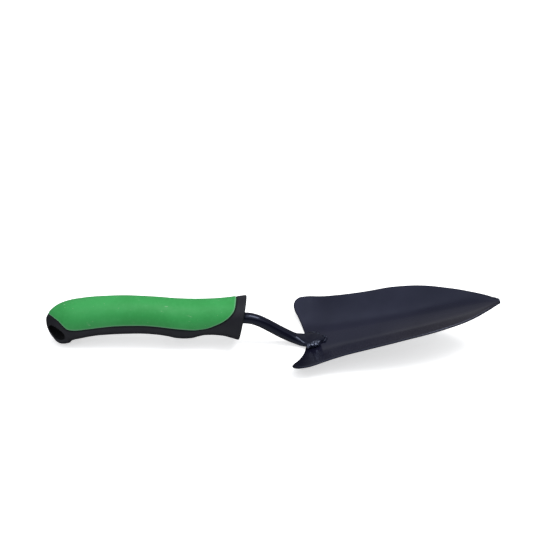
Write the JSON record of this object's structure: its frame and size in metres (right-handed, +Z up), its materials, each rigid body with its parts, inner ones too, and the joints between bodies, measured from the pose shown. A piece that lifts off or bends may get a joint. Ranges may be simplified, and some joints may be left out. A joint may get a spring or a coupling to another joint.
{
  "type": "garden hand trowel",
  "caption": "Hand trowel with a pointed scoop blade welded to a gooseneck shank and a two-material moulded grip with a hanging hole.",
  "frame": {"origin": "middle of the tool's length and width, on the surface that it rests on", "axes": "+X from the butt of the handle to the tip of the blade, +Y to the tool's left, +Z up with the hollow of the blade facing up"},
  "size_m": [0.3197, 0.0846, 0.0409],
  "materials": {
    "blade_paint": "black enamel on pressed steel sheet, semi-gloss",
    "shank_paint": "black enamel on round steel bar, semi-gloss",
    "weld_paint": "painted over, lumpy and glossier than the blade",
    "green_plastic": "fine-textured mid green, faintly scuffed",
    "black_rubber": "satin black soft grip"
  },
  "bodies": {
    "root": {"blade": "blade_paint", "shank": "shank_paint", "weld_right": "weld_paint", "weld_left": "weld_paint", "weld_toe": "weld_paint", "body_green": "green_plastic", "grip_black": "black_rubber"}
  },
  "joints": []
}
